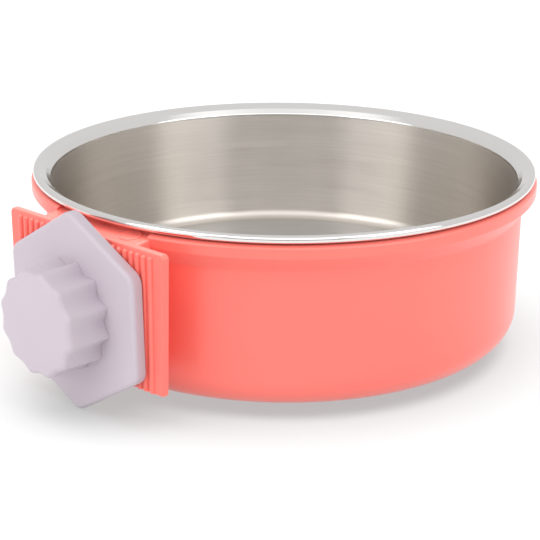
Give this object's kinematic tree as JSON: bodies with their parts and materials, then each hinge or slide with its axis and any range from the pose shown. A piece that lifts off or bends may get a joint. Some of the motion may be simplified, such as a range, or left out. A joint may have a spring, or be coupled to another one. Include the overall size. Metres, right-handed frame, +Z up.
{
  "type": "crate pet bowl",
  "caption": "Round steel bowl that lifts out of a plastic cup, whose ribbed bracket and hexagonal plate clamp onto the wires of a pet crate when the scalloped knob is turned.",
  "frame": {"origin": "centre of the cup's foot, on its underside, on the axis of the bowl", "axes": "+Z up through the bowl, -Y out through the clamp, +X to the right for someone who faces the knob"},
  "size_m": [0.148, 0.1697, 0.0553],
  "materials": {
    "coral_plastic": "moulded coral plastic with a satin skin",
    "lavender_plastic": "moulded pale lavender plastic with a satin skin",
    "brushed_steel": "stainless sheet, brushed round the wall and spun on the floor, with a polished rolled rim"
  },
  "bodies": {
    "holder": {"holder_cup": "coral_plastic", "clamp_bracket": "coral_plastic", "bracket_pin_left": "coral_plastic", "bracket_pin_right": "coral_plastic", "clamp_bolt": "coral_plastic"},
    "bowl": {"steel_bowl": "brushed_steel"},
    "clamp_plate": {"hex_clamp_plate": "lavender_plastic"},
    "knob": {"clamp_knob": "lavender_plastic"}
  },
  "joints": [
    {"name": "bowl_lift", "type": "slide", "parent": "holder", "child": "bowl", "axis": [0, 0, 1], "range_m": [0, 0.06]},
    {"name": "plate_slide", "type": "slide", "parent": "holder", "child": "clamp_plate", "axis": [0, -1, 0], "range_m": [0, 0.009]},
    {"name": "knob_turn", "type": "hinge", "parent": "clamp_plate", "child": "knob", "pos_m": [0, -0.08305, 0.02781], "axis": [0, -1, 0], "range_deg": [0, 1080]}
  ],
  "couplings": [
    {"joint": "plate_slide", "follows": "knob_turn", "m_per_rad": 0.00047746}
  ]
}
